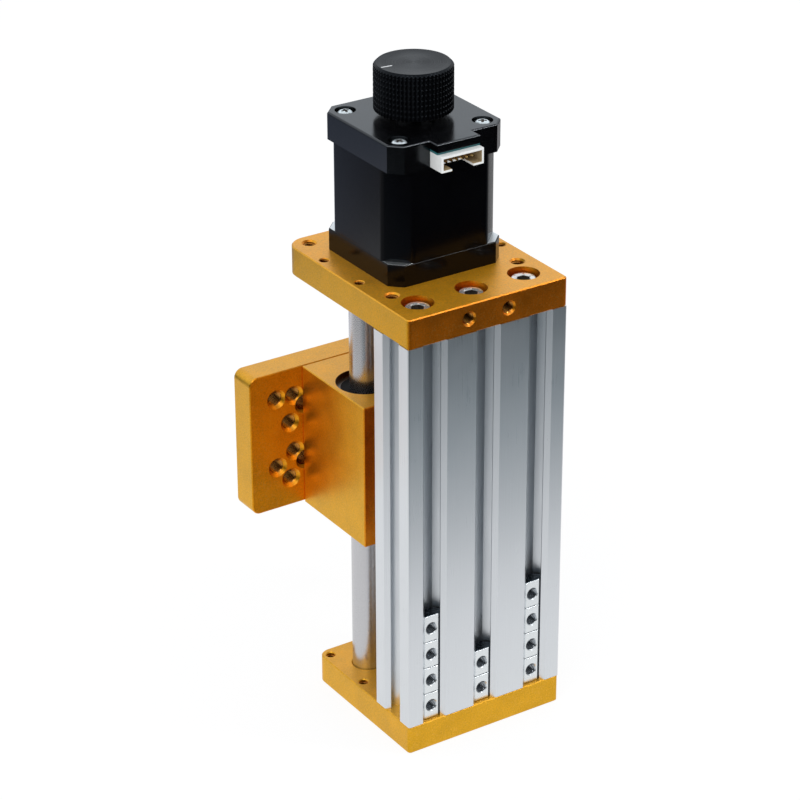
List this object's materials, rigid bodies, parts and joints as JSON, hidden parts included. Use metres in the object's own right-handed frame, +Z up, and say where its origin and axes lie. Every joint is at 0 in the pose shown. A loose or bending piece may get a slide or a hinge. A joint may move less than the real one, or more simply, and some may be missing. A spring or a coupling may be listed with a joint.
{
  "type": "cnc z-axis module",
  "caption": "Motorised vertical slide: slotted frame between two plates, guide rods, lead screw carriage with a drilled tool plate, stepper motor and hand knob.",
  "frame": {"origin": "on the lead screw's axis, at the underside of the bottom plate", "axes": "+Z up along the lead screw towards the motor, +Y from the slotted face towards the tool, +X across the slotted face"},
  "size_m": [0.1, 0.0734, 0.2213],
  "materials": {
    "gold_anodised": "bead blasted and anodised, satin",
    "extruded_aluminium": "satin, extruded",
    "polished_rod": "ground and polished",
    "steel_screws": "zinc plated",
    "slot_nut_steel": "bright zinc",
    "black_cap": "black, satin",
    "black_laminations": "black, satin",
    "bearing_steel": "ground",
    "ball_cage": "moulded",
    "bearing_seal": "matt",
    "ivory_plastic": "moulded",
    "contact_pins": "bright",
    "circuit_board": "laminate",
    "nut_brass": "turned",
    "screw_steel": "rolled",
    "shaft_steel": "ground",
    "coupler_aluminium": "turned",
    "black_set_screws": "black oxide",
    "knob_black": "black anodised, knurled"
  },
  "bodies": {
    "frame": {"bottom_plate": "gold_anodised", "top_plate": "gold_anodised", "slotted_extrusion": "extruded_aluminium", "guide_rod_left": "polished_rod", "guide_rod_right": "polished_rod", "top_extrusion_screws": "steel_screws", "bottom_extrusion_screws": "steel_screws", "bottom_rod_screws": "steel_screws", "motor_front_cap": "black_cap", "motor_stator": "black_laminations", "motor_rear_cap": "black_cap", "motor_case_screws": "steel_screws", "motor_mount_screws": "steel_screws", "motor_bearings": "bearing_steel", "connector_housing": "ivory_plastic", "connector_pins": "contact_pins", "connector_board": "circuit_board", "screw_end_bearing": "bearing_steel"},
    "left_nuts": {"t_nuts_left": "slot_nut_steel"},
    "middle_nuts": {"t_nuts_middle": "slot_nut_steel"},
    "right_nuts": {"t_nuts_right": "slot_nut_steel"},
    "carriage": {"carriage_block": "gold_anodised", "carriage_plate": "gold_anodised", "linear_bearing_sleeves": "bearing_steel", "linear_bearing_cages": "ball_cage", "linear_bearing_seals": "bearing_seal", "lead_nut": "nut_brass", "lead_nut_screws": "steel_screws", "carriage_plate_screws": "steel_screws"},
    "rotor": {"lead_screw": "screw_steel", "shaft_coupler": "coupler_aluminium", "coupler_set_screws": "black_set_screws", "motor_shaft": "shaft_steel", "motor_rotor": "shaft_steel", "knob": "knob_black", "knob_set_screw": "black_set_screws"}
  },
  "joints": [
    {"name": "carriage_slide", "type": "slide", "parent": "frame", "child": "carriage", "axis": [0, 0, 1], "range_m": [-0.05, 0.03]},
    {"name": "screw_spin", "type": "hinge", "parent": "frame", "child": "rotor", "pos_m": [0, 0, 0], "axis": [0, 0, 1], "range_deg": [-2701, 4501]},
    {"name": "left_nuts_slide", "type": "slide", "parent": "frame", "child": "left_nuts", "axis": [0, 0, 1], "range_m": [0, 0.0975]},
    {"name": "middle_nuts_slide", "type": "slide", "parent": "frame", "child": "middle_nuts", "axis": [0, 0, 1], "range_m": [0, 0.117]},
    {"name": "right_nuts_slide", "type": "slide", "parent": "frame", "child": "right_nuts", "axis": [0, 0, 1], "range_m": [0, 0.0975]}
  ],
  "couplings": [
    {"joint": "screw_spin", "follows": "carriage_slide", "rad_per_m": -1570.8}
  ]
}
